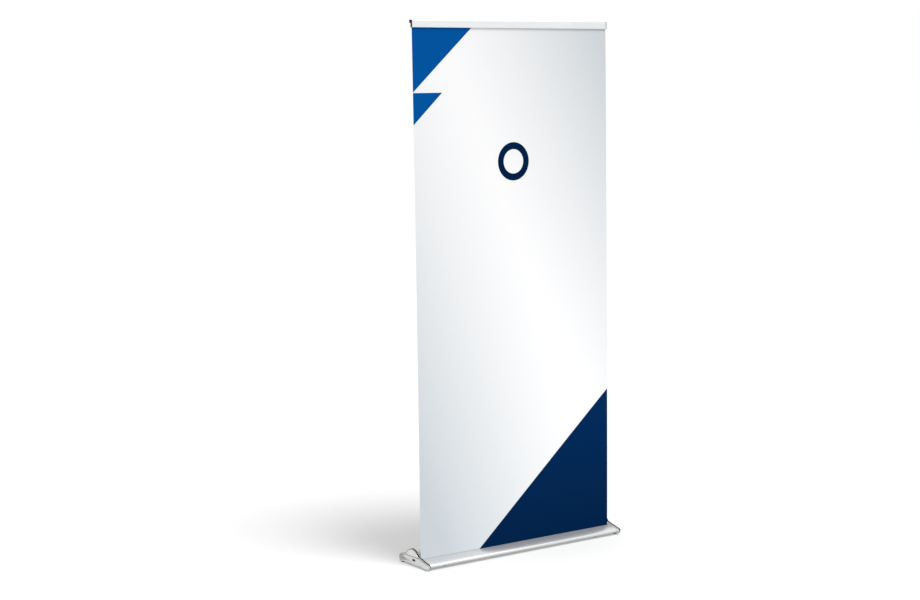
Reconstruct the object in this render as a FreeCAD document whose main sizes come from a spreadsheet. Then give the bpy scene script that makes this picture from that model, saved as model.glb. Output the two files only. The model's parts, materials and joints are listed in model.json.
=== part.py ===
import FreeCAD, Part
import math
import os

# Roll-up banner stand.  Row frame: X is the width, +Y points to the back, +Z is up.
# The origin is on the floor, under the middle of the base.

V = FreeCAD.Vector
doc = FreeCAD.newDocument("banner_stand")

DIMENSIONS = [
    # printed panel
    ("graphic_width", 914.0, "36 inch printed panel"),
    ("graphic_height", 2000.0, "visible height of the print"),
    ("film_thickness", 0.3, "polyester film"),
    ("graphic_tuck", 14.0, "film gripped inside the top rail"),
    ("banner_back", -29.5, "Y of the film plane"),
    # cassette extrusion
    ("cassette_length", 918.0, "extrusion, between the end caps"),
    ("wall", 1.8, "extrusion wall"),
    ("underside", 7.0, "height of the base's underside"),
    ("slot_height", 30.0, "height of the slot's front lip"),
    ("slot_front", 2.0, "lip in front of the film"),
    ("deck_depth", 42.0, "film plane to the start of the nose curve"),
    ("nose_depth", 66.0, "film plane to the nose of the extrusion"),
    ("nose_radius", 6.5, "rounding of the nose"),
    ("nose_level", 16.0, "height of the nose"),
    ("tail_depth", 129.5, "film plane to the rear of the extrusion"),
    ("web_depth", 61.5, "film plane to the rear web"),
    ("dome_depth", 47.0, "film plane to the extruded dome's centre"),
    ("dome_level", 17.0, "height of the extruded dome's centre"),
    ("dome_radius", 43.5, "outside of the extruded dome"),
    ("shell_end", 20.0, "height where the dome's front edge ends"),
    # end caps
    ("inner_thickness", 0.8, "plated inner plate of an end cap"),
    ("liner_thickness", 3.5, "black plate between the inner plate and the cover"),
    ("cover_thickness", 4.7, "plated outer cover of an end cap"),
    ("cap_dome_depth", 43.5, "film plane to the centre of the end cap's dome"),
    ("cap_dome_level", 19.0, "height of the centre of the end cap's dome"),
    ("cap_dome_radius", 47.5, "outside of the end cap's dome"),
    ("groove_inset", 3.0, "cover's edge to the shadow groove in its face"),
    ("groove_depth", 0.6, "shadow groove in the cover's face"),
    ("inlay_radius", 43.9, "satin inlay in the dome"),
    ("inlay_level", 37.5, "height of the inlay's lower edge"),
    ("inlay_recess", 1.6, "depth of the inlay's seat"),
    ("inlay_proud", 0.5, "inlay above the cover's face"),
    ("seam_gap", 1.8, "gap round the inlay, and width of the groove"),
    ("pad_thickness", 2.5, "rubber pads under the end caps"),
    # roller
    ("roller_depth", 38.0, "film plane to the roller's axis"),
    ("roller_level", 35.0, "height of the roller's axis"),
    ("roller_radius", 16.0, "roller tube, outside"),
    ("roller_bore", 14.6, "roller tube, inside"),
    ("roller_length", 912.0, "roller tube"),
    ("wrap_radius", 16.8, "outside of the film left on the roller"),
    ("journal_radius", 4.0, "idle pin and spring rod"),
    ("journal_play", 0.08, "running clearance"),
    ("plug_depth", 12.0, "how far a plug enters the tube"),
    ("plug_flange", 1.5, "plug flange"),
    ("anchor_radius", 6.35, "spring anchor and bush"),
    ("anchor_square", 6.0, "square end of the spring rod"),
    ("lock_circle", 11.0, "radius of the circle of lock holes"),
    ("lock_pin_radius", 1.6, "nose of the lock button"),
    ("lock_pin_length", 3.0, "nose of the lock button"),
    ("lock_hole_radius", 2.0, "lock holes in the plug"),
    ("button_depth", 31.0, "film plane to the middle of the lock button"),
    ("button_length", 21.0, "oblong lock button, across"),
    ("button_height", 6.6, "oblong lock button, high"),
    ("button_body", 6.4, "oblong lock button, along the width of the stand"),
    ("button_recess", 0.8, "button below the cover's face"),
    ("button_gap", 0.3, "button to the edge of its slot"),
    ("spring_length", 200.0, "torsion spring"),
    ("spring_radius", 7.6, "torsion spring, outside"),
    ("spring_bore", 5.0, "torsion spring, inside"),
    # pole
    ("pole_depth", 82.0, "film plane to the pole's foot"),
    ("pole_top_depth", 12.5, "film plane to the pole's axis at the rail"),
    ("pole_foot_level", 9.5, "height of the foot point"),
    ("tube_gap", 0.3, "between telescoping tubes"),
    ("lower_radius", 12.5, "lower tube, outside"),
    ("middle_radius", 10.9, "middle tube, outside"),
    ("upper_radius", 9.4, "upper tube, outside"),
    ("tube_wall", 1.3, "tube wall"),
    ("lower_start", 5.6, "lower tube's end above the foot point"),
    ("lower_length", 730.0, "lower tube"),
    ("middle_start", 665.0, "middle tube's end above the foot point"),
    ("middle_length", 723.0, "middle tube"),
    ("upper_start", 1318.0, "upper tube's end above the foot point"),
    ("upper_length", 690.0, "upper tube"),
    ("guide_length", 14.0, "guide plug in a tube's lower end"),
    ("socket_radius", 17.0, "socket, outside"),
    ("socket_play", 0.2, "socket bore round the pole"),
    ("socket_height", 53.0, "socket body"),
    ("socket_flange_radius", 19.5, "socket flange"),
    ("socket_flange", 2.4, "socket flange"),
    ("socket_floor", 2.5, "socket bottom"),
    # clamps
    ("collar_wall", 4.0, "clamp collar ring"),
    ("collar_grip", 20.0, "collar's length on its tube"),
    ("collar_lip", 5.0, "collar's lip over the tube's end"),
    ("ear_gap", 4.4, "split between the ears"),
    ("ear_half_width", 8.5, "ears, outside face"),
    ("ear_reach", 14.0, "ears beyond the ring"),
    ("bolt_radius", 2.5, "cross bolt"),
    ("cam_pin_radius", 2.0, "cam lever's pin"),
    ("cam_pin_play", 0.06, "running clearance"),
    ("cam_pin_side", 15.2, "cam pin's offset from the pole's axis"),
    ("cam_radius", 6.0, "cam disc"),
    ("cam_throw", 0.4, "cam disc's eccentricity"),
    ("lever_height", 19.0, "cam lever along the pole"),
    ("lever_reach", 46.0, "cam lever, pin to tip"),
    # top rail
    ("rail_length", 914.4, "rear profile"),
    ("rail_height", 27.0, "rail face"),
    ("rail_front", 4.2, "film plane to the front face"),
    ("rail_rear", 11.0, "film plane to the back of the channel"),
    ("rail_leg_rear", 3.2, "film plane to the back of the lower leg"),
    ("rail_leg_height", 16.0, "lower leg below the channel"),
    ("rail_wall", 1.6, "rail walls"),
    ("jaw_wall", 1.7, "front jaw plate"),
    ("jaw_gap", 0.3, "jaw ends to the end plugs"),
    ("hinge_rod_radius", 0.8, "jaw hinge rod"),
    ("hinge_rod_play", 0.07, "running clearance"),
    ("jaw_knuckle", 1.9, "jaw's rounded top edge"),
    ("rail_plug_thickness", 2.3, "end plug"),
    ("hook_width", 24.0, "hook blade on the pole head"),
    ("hook_thickness", 3.0, "hook blade on the pole head"),
    ("hook_offset", 5.5, "blade in front of the pole's axis"),
    ("head_cap", 6.0, "pole head's cap on the tube"),
    # feet
    ("foot_side", 368.0, "levelling feet from the middle"),
    ("foot_front", 28.0, "front feet, in front of the film"),
    ("foot_rear", 100.0, "rear feet, behind the film"),
    ("foot_radius", 8.0, "foot pad"),
    ("foot_pad_height", 4.6, "foot pad"),
    ("stud_radius", 3.0, "M6 stud"),
    ("stud_length", 15.0, "M6 stud"),
    ("stud_play", 0.08, "stud head in the pad"),
    ("stud_head_radius", 4.4, "head held by the pad"),
    ("insert_radius", 4.6, "threaded insert"),
    ("insert_length", 9.0, "threaded insert"),
    ("screw_radius", 2.0, "M4 cap screws"),
    ("screw_length", 10.0, "M4 cap screws"),
    ("screw_head_radius", 3.8, "M4 cap screws"),
    ("screw_head_height", 2.2, "M4 cap screws"),
]

sheet = doc.addObject("Spreadsheet::Sheet", "Sizes")
for row, (alias, value, note) in enumerate(DIMENSIONS, 1):
    sheet.set(f"A{row}", note)
    sheet.set(f"B{row}", str(value))
    sheet.setAlias(f"B{row}", alias)
doc.recompute()


def size(alias):
    return float(getattr(sheet, alias))


nodes = []
HALF = "Sizes.cassette_length / 2"
BACK = "Sizes.banner_back"
AXIS_Y = f"{BACK} + Sizes.roller_depth"
AXIS_Z = "Sizes.roller_level"
LINER_START = f"({HALF} + Sizes.inner_thickness)"
COVER_START = f"({LINER_START} + Sizes.liner_thickness)"


# ---------------------------------------------------------------- helpers

def bind(thing, **expressions):
    """Ties properties to the sheet; base_x, base_y and base_z are the placement."""
    for name, text in expressions.items():
        path = name.replace("base_", "Placement.Base.")
        thing.setExpression(path, text)
    return thing


def node(thing, label):
    thing.Label = label
    nodes.append(thing)
    return thing


def rod(radius, length, x="0", y="0", z="0", along="z"):
    """A round bar with its start at x, y, z."""
    bar = doc.addObject("Part::Cylinder", "rod")
    if along == "x":
        bar.Placement = FreeCAD.Placement(V(), FreeCAD.Rotation(V(0, 1, 0), 90))
    return bind(bar, Radius=radius, Height=length, base_x=x, base_y=y, base_z=z)


def block(length, width, height, x="0", y="0", z="0"):
    """A box with its low corner at x, y, z."""
    box = doc.addObject("Part::Box", "block")
    return bind(box, Length=length, Width=width, Height=height, base_x=x, base_y=y, base_z=z)


def cut(base, *tools):
    result = doc.addObject("Part::Cut", "cut")
    result.Base = base
    result.Tool = tools[0] if len(tools) == 1 else fuse(*tools)
    return result


def fuse(*pieces):
    result = doc.addObject("Part::MultiFuse", "fuse")
    result.Shapes = list(pieces)
    return result


def group(*pieces):
    """Separate identical solids that share one node."""
    result = doc.addObject("Part::Compound", "group")
    result.Links = list(pieces)
    return result


def curves(outline):
    """Edges of a closed outline: a point is a line to it, a pair is an arc through and to."""
    start = outline[0]
    here = start
    edges = []
    for step in outline[1:] + [start]:
        if isinstance(step[0], tuple):
            through, end = step
            edges.append(Part.Arc(V(*here, 0), V(*through, 0), V(*end, 0)))
        else:
            end = step
            if math.dist(here, end) > 1e-6:
                edges.append(Part.LineSegment(V(*here, 0), V(*end, 0)))
        here = end
    return edges


def prism(plane, length, *outlines):
    """A PartDesign body: outlines sketched on an origin plane and padded."""
    body = doc.addObject("PartDesign::Body", "body")
    sketch = body.newObject("Sketcher::SketchObject", "outline")
    planes = [f for f in body.Origin.OriginFeatures if f.Role == plane]
    sketch.AttachmentSupport = (planes[0], [""])
    sketch.MapMode = "FlatFace"
    for outline in outlines:
        sketch.addGeometry(curves(outline), False)
    pad = body.newObject("PartDesign::Pad", "pad")
    pad.Profile = sketch
    pad.setExpression("Length", length)
    body.Tip = pad
    doc.recompute()
    return body


def along_width(length, x, *outlines):
    """A profile in film coordinates (distance behind the film, height), run along X."""
    body = prism("YZ_Plane", length, *outlines)
    return bind(body, base_x=x, base_y=BACK)


def edges_at(shape, axis, value, tolerance=1e-3):
    """Names of the edges that lie in the plane where the axis has this value."""
    names = []
    for index, edge in enumerate(shape.Edges, 1):
        box = edge.BoundBox
        low = getattr(box, axis + "Min")
        high = getattr(box, axis + "Max")
        if abs(low - value) < tolerance and abs(high - value) < tolerance:
            names.append(f"Edge{index}")
    return names


def round_end(body, axis, value, radius):
    """Rounds every edge of one flat end of a body."""
    tip = body.Tip
    names = edges_at(tip.Shape, axis, value)
    round_over = body.newObject("PartDesign::Fillet", "round_over")
    round_over.Base = (tip, names)
    round_over.setExpression("Radius", radius)
    body.Tip = round_over
    doc.recompute()
    return body


def ring_front(radius, level, name="dome"):
    """Distance behind the film of a dome circle's front at a height."""
    rise = level - size(f"{name}_level")
    return size(f"{name}_depth") - math.sqrt(radius ** 2 - rise ** 2)


def ring_rear(radius, level, name="dome"):
    """Distance behind the film of a dome circle's rear at a height."""
    return 2 * size(f"{name}_depth") - ring_front(radius, level, name)


def ring_top(radius, depth):
    """Height of the extruded dome's circle at a distance behind the film."""
    run = depth - size("dome_depth")
    return size("dome_level") + math.sqrt(radius ** 2 - run ** 2)


def circle_point(centre, radius, angle):
    """Point of a circle; 0 degrees is the rear, 90 the top, 180 the front."""
    turn = math.radians(angle)
    return (centre[0] + radius * math.cos(turn), centre[1] + radius * math.sin(turn))


def ring_point(radius, angle, name="dome"):
    return circle_point((size(f"{name}_depth"), size(f"{name}_level")), radius, angle)


# ---------------------------------------------------------------- cassette

def nose_point(radius, angle):
    centre = (size("nose_radius") - size("nose_depth"), size("nose_level"))
    return circle_point(centre, radius, angle)


def cassette_outlines():
    """Skin, front chamber and rear chamber; the roller lies between the chambers."""
    wall = size("wall")
    floor = size("underside")
    inner_floor = floor + wall
    lip = size("slot_height")
    web = size("web_depth")
    round_over = size("nose_radius")
    inner_round = round_over - wall
    tail = size("tail_depth")
    outer = size("dome_radius")
    inner = outer - wall
    deck = (-size("deck_depth"), lip - 2.7)
    front = -size("slot_front")
    shell_end = size("shell_end")
    wing_top = 39.5
    inner_wing_top = wing_top - 1.6
    skin = [
        (front, lip), deck,
        ((deck[0] - 10.5, deck[1] - 1.75), nose_point(round_over, 116.5)),
        (nose_point(round_over, 180), nose_point(round_over, 259)), (-46, floor),
        (tail - 6.5, floor),
        ((tail - 1.6, 9.4), (tail, 14.5)),
        ((tail - 1.8, 24.4), (tail - 9, 31.4)),
        (ring_rear(outer, wing_top), wing_top),
        (ring_point(outer, 90), (ring_front(outer, shell_end), shell_end)),
        (ring_front(inner, shell_end), shell_end),
        (ring_point(inner, 130), (web, ring_top(inner, web))),
        (web, inner_floor), (front, inner_floor),
    ]
    front_chamber = [
        (front - wall, deck[1] + 0.6), (deck[0], deck[1] - wall),
        ((deck[0] - 10.2, deck[1] - 3.5), nose_point(inner_round, 116.5)),
        (nose_point(inner_round, 180), nose_point(inner_round, 259)), (-45.8, inner_floor),
        (front - wall, inner_floor),
    ]
    rear_chamber = [
        (web + wall, inner_floor), (tail - 7, inner_floor), (tail - wall, 14.5),
        ((tail - 3.5, 23.6), (tail - 10, 29.75)),
        (ring_rear(inner, inner_wing_top), inner_wing_top),
        (ring_point(inner, 50), (web + wall, ring_top(inner, web + wall))),
    ]
    return skin, front_chamber, rear_chamber


def pole_frame():
    """The pole leans forward from its foot to the rail."""
    foot = V(0, size("banner_back") + size("pole_depth"), size("pole_foot_level"))
    run = size("pole_depth") - size("pole_top_depth")
    rise = size("slot_height") + size("graphic_height") - foot.z
    lean = math.degrees(math.atan2(run, rise))
    return FreeCAD.Placement(foot, FreeCAD.Rotation(V(1, 0, 0), lean))


def foot_places():
    sides = (("left", -1), ("right", 1))
    ends = (("front", "-Sizes.foot_front"), ("rear", "Sizes.foot_rear"))
    return [(f"{end}_{side}", f"{sign} * Sizes.foot_side", f"{BACK} + {depth}")
            for end, depth in ends for side, sign in sides]


def make_cassette():
    body = along_width("Sizes.cassette_length", f"-{HALF}", *cassette_outlines())
    mouth = rod("Sizes.socket_radius + 0.15", "56", z="12")
    mouth_leaning = doc.addObject("Part::Compound", "mouth")
    mouth_leaning.Links = [mouth]
    mouth_leaning.Placement = pole_frame()
    holes = [rod("Sizes.insert_radius + 0.05", "Sizes.wall + 2", x=x, y=y,
                 z="Sizes.underside - 1") for _, x, y in foot_places()]
    holes += [rod("Sizes.screw_radius + 0.2", "Sizes.wall + 2", x=x, y=y,
                  z="Sizes.underside - 1") for x, y in screw_places()]
    node(cut(body, mouth_leaning, *holes), "cassette_extrusion")


def screw_places():
    inset = f"({HALF} - 5)"
    depths = (f"{BACK} - 28", f"{BACK} + 112")
    return [(f"{sign} * {inset}", depth) for sign in (-1, 1) for depth in depths]


def make_slot_strips():
    """The rear strip guides the film round into the slot; the front one wipes it."""
    shell = size("dome_radius") + 0.03
    guide_round = 4.9
    centre = (5.3, 21.0)
    front = centre[0] - guide_round
    low = centre[1] - guide_round
    guide = [
        (front, centre[1]), (front, 25.0),
        ((front + 0.8, 27.2), (front + 3.0, 28.0)),
        (ring_front(shell, 28.0), 28.0),
        ((ring_front(shell, 24.0), 24.0), (ring_front(shell, 20.0), 20.0)),
        (ring_front(shell, 20.0), 19.95), (10.3, 19.95), (10.3, low), (centre[0], low),
    ]
    last = (circle_point(centre, guide_round, 225), (front, centre[1]))
    node(along_width("Sizes.graphic_width", "-Sizes.graphic_width / 2", guide + [last]),
         "slot_guide_strip")
    wiper = block("Sizes.graphic_width", "1.4", "7.5", x="-Sizes.graphic_width / 2",
                  y=f"{BACK} - Sizes.slot_front", z="Sizes.slot_height - 8")
    node(wiper, "slot_wiper_strip")


def make_run_in():
    """Film between the slot and the roller, bent round the guide strip."""
    half = size("film_thickness") / 2
    bend = 5.3
    centre = (bend, 21.0)
    slope = math.radians(3.3)
    end_depth = size("roller_depth")

    def side(radius):
        middle = circle_point(centre, radius, 225)
        foot = (centre[0] + radius * math.sin(slope), centre[1] - radius * math.cos(slope))
        end = (end_depth, foot[1] + (end_depth - foot[0]) * math.tan(slope))
        return (centre[0] - radius, centre[1]), middle, foot, end

    outer_top, outer_middle, outer_foot, outer_end = side(bend + half)
    inner_top, inner_middle, inner_foot, inner_end = side(bend - half)
    top = size("slot_height") - 2
    strip = [(outer_top[0], top), outer_top, (outer_middle, outer_foot), outer_end, inner_end,
             inner_foot, (inner_middle, inner_top), (inner_top[0], top)]
    node(along_width("Sizes.graphic_width", "-Sizes.graphic_width / 2", strip),
         "graphic_run_in")


# ---------------------------------------------------------------- end caps

def cap_outline(inset=0.0):
    """Side view of an end cap; its feet reach down behind the toe and at the tail."""
    radius = size("cap_dome_radius") - inset
    front_shoulder = 43.5 - inset
    rear_shoulder = 41.5 - inset
    sole = size("pad_thickness") + inset
    arch = size("underside") - 0.5 + inset
    toe_top = (-64 + 0.3 * inset, 26.5 - inset)
    return [
        toe_top, (ring_front(radius, front_shoulder, "cap_dome"), front_shoulder),
        (ring_point(radius, 90, "cap_dome"),
         (ring_rear(radius, rear_shoulder, "cap_dome"), rear_shoulder)),
        (123 - 0.2 * inset, 34 - inset),
        ((131.4 - inset, 27.6 - 0.6 * inset), (134 - inset, 16)),
        ((132.2 - inset, 7.0 + 0.6 * inset), (125, sole)),
        (109 + inset, sole), (104 + inset, arch), (-26 - inset, arch), (-30 - inset, sole),
        (-52, sole),
        ((-67.5 + 0.5 * inset, 6.6 + 0.7 * inset), (-75 + inset, 16)),
        ((-72.6 + 0.7 * inset, 22.6 - 0.6 * inset), toe_top),
    ]


def inlay_outline(grow=0.0):
    radius = size("inlay_radius") + grow
    level = size("inlay_level") - grow
    front = ring_front(radius, level, "cap_dome")
    rear = ring_rear(radius, level, "cap_dome")
    return [(front, level), (rear, level), (ring_point(radius, 90, "cap_dome"), (front, level))]


def oblong_outline(length, height):
    """Oblong slot of the lock button, level with its nose."""
    middle = size("button_depth")
    level = size("roller_level") - size("lock_circle")
    flat = (length - height) / 2
    half = height / 2
    return [
        (middle - flat, level - half), (middle + flat, level - half),
        ((middle + flat + half, level), (middle + flat, level + half)),
        (middle - flat, level + half),
        ((middle - flat - half, level), (middle - flat, level - half)),
    ]


def side_place(sign, start, length):
    """X where a prism of this length starts so that it lies between start and start + length
    outwards from the middle, on either side."""
    return f"{start}" if sign > 0 else f"-({start}) - ({length})"


def mirrored(thing, side):
    """Pieces are drawn for the left end; the right ones are their mirror image."""
    if side == "left":
        return thing
    doc.recompute()
    image = doc.addObject("Part::Mirroring", "mirrored")
    image.Source = thing
    image.Normal = V(1, 0, 0)
    return image


def button_slot(start, length):
    gap = 2 * size("button_gap")
    outline = oblong_outline(size("button_length") + gap, size("button_height") + gap)
    return along_width(length, side_place(-1, start, length), outline)


def make_end_cap(side):
    """Plated cover of an end cap, and the satin inlay in its dome."""
    cover = "Sizes.cover_thickness"
    body = along_width(cover, side_place(-1, COVER_START, cover), cap_outline())

    inlay_thickness = "Sizes.inlay_recess + Sizes.inlay_proud"
    recess_start = f"{COVER_START} + {cover} - Sizes.inlay_recess"
    recess = along_width("Sizes.inlay_recess + 1",
                         side_place(-1, recess_start, "Sizes.inlay_recess + 1"),
                         inlay_outline(size("seam_gap")))
    groove_start = f"{COVER_START} + {cover} - Sizes.groove_depth"
    groove = along_width("Sizes.groove_depth + 1",
                         side_place(-1, groove_start, "Sizes.groove_depth + 1"),
                         cap_outline(size("groove_inset")),
                         cap_outline(size("groove_inset") + size("seam_gap")))
    journal = rod("Sizes.anchor_radius + 0.15", "2.4",
                  x=side_place(-1, f"{COVER_START} - 0.1", "2.4"), y=AXIS_Y, z=AXIS_Z, along="x")
    tools = [recess, groove, journal]
    if side == "left":
        tools.append(button_slot(f"{COVER_START} - 1", f"{cover} + 2"))
    node(mirrored(cut(body, *tools), side), f"end_cap_{side}")

    inlay = along_width(inlay_thickness, side_place(-1, recess_start, inlay_thickness),
                        inlay_outline())
    round_end(inlay, "X", 0.0, "0.45")
    node(mirrored(inlay, side), f"dome_inlay_{side}")


def make_inner_plates(side):
    """Black liner, and the plated inner plate with the spigots that enter the extrusion."""
    spigot_x = side_place(-1, f"{HALF} - 10", "10.4")
    spigot_z = "Sizes.underside + Sizes.wall + 0.1"
    spigots = [block("10.4", "37", "14", x=spigot_x, y=f"{BACK} - 45", z=spigot_z),
               block("10.4", "20", "15", x=spigot_x, y=f"{BACK} + 101", z=spigot_z)]
    screw_holes = [rod("Sizes.screw_radius", "Sizes.screw_length", x=x, y=y, z="Sizes.underside")
                   for x, y in screw_places() if x.startswith("-")]
    layers = (("inner", HALF, "Sizes.inner_thickness", spigots, screw_holes),
              ("liner", LINER_START, "Sizes.liner_thickness", [], []))
    for layer, start, thickness, extras, holes in layers:
        plate = along_width(thickness, side_place(-1, start, thickness), cap_outline(0.8))
        long = f"{thickness} + 2"
        clear = f"{start} - 1"
        tools = holes + [rod("Sizes.anchor_radius + 0.05", long, x=side_place(-1, clear, long),
                             y=AXIS_Y, z=AXIS_Z, along="x")]
        if side == "left":
            tools.append(button_slot(clear, long))
        whole = fuse(plate, *extras) if extras else plate
        node(mirrored(cut(whole, *tools), side), f"end_cap_{layer}_{side}")


def make_cap_screws():
    """Cross-recess screws from below, two into the spigots of each end cap."""
    screws = []
    for x, y in screw_places():
        shank = rod("Sizes.screw_radius - 0.02", "Sizes.screw_length - 0.5", x=x, y=y,
                    z="Sizes.underside - 0.1")
        head = rod("Sizes.screw_head_radius", "Sizes.screw_head_height", x=x, y=y,
                   z="Sizes.underside - Sizes.screw_head_height")
        drive = block("4.4", "0.9", "1", x=f"{x} - 2.2", y=f"{y} - 0.45",
                      z="Sizes.underside - Sizes.screw_head_height")
        cross = block("0.9", "4.4", "1", x=f"{x} - 0.45", y=f"{y} - 2.2",
                      z="Sizes.underside - Sizes.screw_head_height")
        screws.append(cut(fuse(shank, head), drive, cross))
    node(group(*screws), "cap_screws")


def make_cap_pads():
    """Rubber pads under the nose and tail of both end caps."""
    pads = []
    for sign in (-1, 1):
        x = side_place(sign, f"{HALF} + 1", "7")
        for depth, length in (("-50", "18"), ("110", "14")):
            pads.append(block("7", length, "Sizes.pad_thickness", x=x, y=f"{BACK} + {depth}"))
    node(group(*pads), "cap_foot_pads")


# ---------------------------------------------------------------- roller

def roller_rod(radius, length, x):
    return rod(radius, length, x=x, y=AXIS_Y, z=AXIS_Z, along="x")


def make_roller():
    half = "Sizes.roller_length / 2"
    tube = cut(roller_rod("Sizes.roller_radius", "Sizes.roller_length", f"-{half}"),
               roller_rod("Sizes.roller_bore", "Sizes.roller_length + 2", f"-{half} - 1"))
    node(tube, "roller_tube")
    wrap = cut(roller_rod("Sizes.wrap_radius", "Sizes.graphic_width", "-Sizes.graphic_width / 2"),
               roller_rod("Sizes.roller_radius + 0.02", "Sizes.graphic_width + 2",
                          "-Sizes.graphic_width / 2 - 1"))
    node(wrap, "graphic_wrap")
    for side, sign in (("left", -1), ("right", 1)):
        spigot = roller_rod("Sizes.roller_bore - 0.02", "Sizes.plug_depth",
                            side_place(sign, f"{half} - Sizes.plug_depth", "Sizes.plug_depth"))
        flange = roller_rod("Sizes.roller_radius", "Sizes.plug_flange",
                            side_place(sign, half, "Sizes.plug_flange"))
        play = " + Sizes.journal_play" if sign < 0 else ""
        bore = roller_rod(f"Sizes.journal_radius{play}", "40",
                          side_place(sign, f"{half} - 30", "40"))
        tools = [bore]
        if sign < 0:
            tools += lock_holes(f"-{half} - 3")
        node(cut(fuse(spigot, flange), *tools), f"roller_plug_{side}")
    node(roller_rod("Sizes.journal_radius", "Sizes.plug_depth + 9.5", f"{half} - Sizes.plug_depth"),
         "roller_idle_pin")


def lock_holes(x):
    """Six holes that the lock button's nose can enter."""
    holes = []
    for step in range(6):
        turn = math.radians(60 * step - 90)
        holes.append(rod("Sizes.lock_hole_radius", "8", x=x,
                         y=f"{AXIS_Y} + Sizes.lock_circle * {math.cos(turn):.6f}",
                         z=f"{AXIS_Z} + Sizes.lock_circle * {math.sin(turn):.6f}", along="x"))
    return holes


def square_bar(length, x, play):
    """The rod's square end, or with play the hole that it sits in."""
    side = f"(Sizes.anchor_square + {2 * play})"
    return block(length, side, side, x=x, y=f"{AXIS_Y} - {side} / 2", z=f"{AXIS_Z} - {side} / 2")


def make_spring_end():
    """Fixed rod, its square-holed anchor, the spring and the hub that the spring turns."""
    anchor_body = roller_rod("Sizes.anchor_radius", "6", f"-{HALF} - 6.2")
    node(cut(anchor_body, square_bar("8", f"-{HALF} - 7", 0.05)), "spring_anchor")
    shank = roller_rod("Sizes.journal_radius", "Sizes.spring_length + 40", f"-{HALF} + 0.5")
    trimmed = doc.addObject("Part::Common", "square_end")
    trimmed.Base = square_bar("8", f"-{HALF} - 6.2", 0.0)
    trimmed.Tool = roller_rod("Sizes.journal_radius", "9", f"-{HALF} - 6.5")
    node(fuse(shank, trimmed), "spring_rod")
    start = f"-{HALF} + 18"
    node(cut(roller_rod("Sizes.spring_radius", "Sizes.spring_length", start),
             roller_rod("Sizes.spring_bore", "Sizes.spring_length + 2", f"{start} - 1")),
         "torsion_spring")
    hub_x = f"{start} + Sizes.spring_length + 1"
    node(cut(roller_rod("Sizes.roller_bore - 0.02", "14", hub_x),
             roller_rod("Sizes.journal_radius + Sizes.journal_play", "16", f"{hub_x} - 1")),
         "spring_hub")
    node(cut(roller_rod("Sizes.anchor_radius", "6", f"{HALF} + 0.2"),
             roller_rod("Sizes.journal_radius + Sizes.journal_play", "8", f"{HALF} - 0.8")),
         "roller_bush")


def make_lock_button():
    """Oblong button in the left cap; pushed in, its nose enters a plug hole."""
    face = f"({COVER_START} + Sizes.cover_thickness - Sizes.button_recess)"
    body = along_width("Sizes.button_body", f"-{face}",
                       oblong_outline(size("button_length"), size("button_height")))
    round_end(body, "X", 0.0, "0.6")
    nose = rod("Sizes.lock_pin_radius", "Sizes.lock_pin_length + 0.5",
               x=f"-{face} + Sizes.button_body - 0.5", y=AXIS_Y,
               z=f"{AXIS_Z} - Sizes.lock_circle", along="x")
    node(fuse(body, nose), "lock_button")


# ---------------------------------------------------------------- pole

def leaning(thing):
    thing.Placement = pole_frame()
    return thing


def telescoping_tube(label, radius, start, length):
    outer = rod(radius, length, z=start)
    inner = rod(f"{radius} - Sizes.tube_wall", f"{length} + 2", z=f"{start} - 1")
    node(leaning(cut(outer, inner)), label)


def make_pole():
    for name in ("lower", "middle", "upper"):
        telescoping_tube(f"pole_{name}_tube", f"Sizes.{name}_radius", f"Sizes.{name}_start",
                         f"Sizes.{name}_length")
    bore = "Sizes.lower_radius - Sizes.tube_wall - 0.02"
    plug = fuse(rod("Sizes.lower_radius", "2.8", z="Sizes.lower_start - 2.8"),
                rod(bore, "12", z="Sizes.lower_start - 1"))
    node(leaning(plug), "pole_foot_plug")
    for name in ("middle", "upper"):
        radius = f"Sizes.{name}_radius"
        skirt = rod(f"{radius}", "3", z=f"Sizes.{name}_start - 3")
        spigot = rod(f"{radius} - Sizes.tube_wall - 0.02", "Sizes.guide_length",
                     z=f"Sizes.{name}_start - 0.5")
        hole = rod("3", "Sizes.guide_length + 6", z=f"Sizes.{name}_start - 4")
        node(leaning(cut(fuse(skirt, spigot), hole)), f"pole_{name}_guide")


def make_socket():
    outer = rod("Sizes.socket_radius", "Sizes.socket_height")
    flange = rod("Sizes.socket_flange_radius", "Sizes.socket_flange", z="Sizes.socket_height")
    bore = rod("Sizes.lower_radius + Sizes.socket_play", "Sizes.socket_height + 5",
               z="Sizes.socket_floor")
    body = cut(fuse(outer, flange), bore)
    node(leaning(body), "pole_socket")


def make_pole_head():
    """Cap on the upper tube with the blade that carries the rail."""
    top = "(Sizes.upper_start + Sizes.upper_length)"
    plug = rod("Sizes.upper_radius - Sizes.tube_wall - 0.02", "16", z=f"{top} - 15")
    cap = rod("Sizes.upper_radius", "Sizes.head_cap", z=top)
    blade = block("Sizes.hook_width", "Sizes.hook_thickness", "37.5", x="-Sizes.hook_width / 2",
                  y="-Sizes.hook_offset - Sizes.hook_thickness / 2", z=f"{top} + 0.2")
    rib = block("4", "10", "9", x="-2", y="-6", z=f"{top} + 5")
    node(leaning(fuse(plug, cap, blade, rib)), "pole_head")


def lever_outline():
    """Plan of the cam lever, about its pin; the arm runs forward along the collar."""
    radius = size("cam_radius")
    throw = size("cam_throw")
    reach = size("lever_reach")
    outer = radius - throw
    inner = 2.2
    return [
        (outer, 0.0),
        ((-throw, radius), (-radius - throw, 0.0)),
        ((-throw - radius * math.sin(math.radians(45)), -radius * math.sin(math.radians(45))),
         (-throw, -radius)),
        (inner, -radius - 2.0), (inner, 8.0 - reach),
        ((inner + 0.6, 4.0 - reach), (inner + 3.4, 0.6 - reach)),
        ((inner + 5.2, 0.9 - reach), (inner + 5.3, 2.6 - reach)),
        ((outer + 0.5, 6.0 - reach), (outer, 11.0 - reach)),
    ]


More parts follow.
